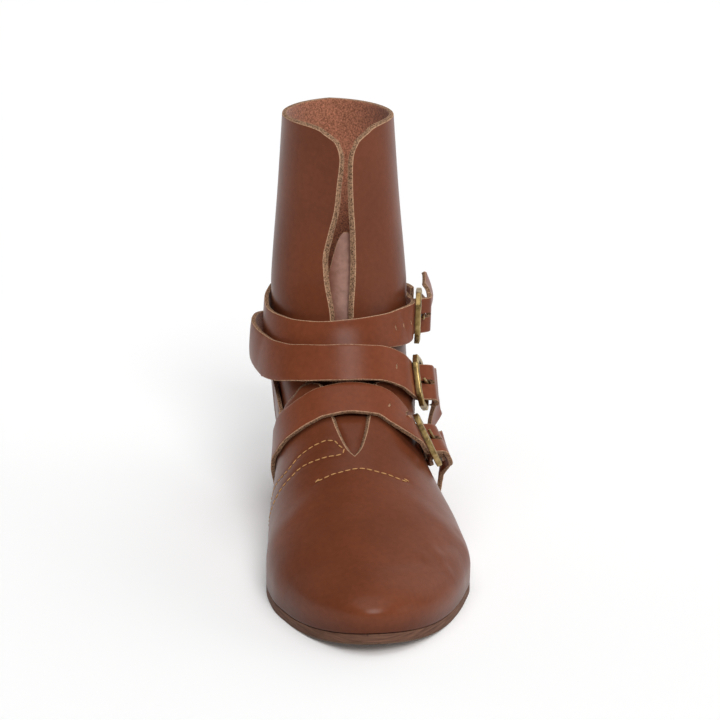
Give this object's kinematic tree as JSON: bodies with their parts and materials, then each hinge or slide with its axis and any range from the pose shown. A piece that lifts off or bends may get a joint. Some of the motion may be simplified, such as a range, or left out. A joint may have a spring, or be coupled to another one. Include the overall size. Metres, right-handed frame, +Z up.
{
  "type": "buckled boot",
  "caption": "Left ankle boot in smooth brown leather: low round-toed shoe, tucked-in shaft open at the front, tongue, flat leather sole, and buckled straps over the instep and round the ankle.",
  "frame": {"origin": "on the floor plane under the sole, at half the boot's length, under the line of the leg", "axes": "+Z up, -Y towards the toe, +X towards the outer side, where the buckles are"},
  "size_m": [0.1124, 0.287, 0.231],
  "materials": {
    "upper_leather": "smooth waxed brown grain with raw tan cut edges",
    "strap_leather": "smooth waxed brown grain with raw tan cut edges",
    "insole": "raw napped leather",
    "outsole": "dark burnished sole leather",
    "brass": "dulled cast brass"
  },
  "bodies": {
    "root": {"buckle_frame_instep": "brass", "buckle_frame_middle": "brass", "buckle_frame_top": "brass", "buckle_prong_instep": "brass", "buckle_prong_middle": "brass", "buckle_prong_top": "brass", "chape_instep": "strap_leather", "chape_middle": "strap_leather", "chape_top": "strap_leather", "insole": "insole", "outsole": "outsole", "shaft": "upper_leather", "strap_instep": "strap_leather", "strap_middle": "strap_leather", "strap_top": "strap_leather", "tongue": "upper_leather", "upper": "upper_leather"}
  },
  "joints": []
}
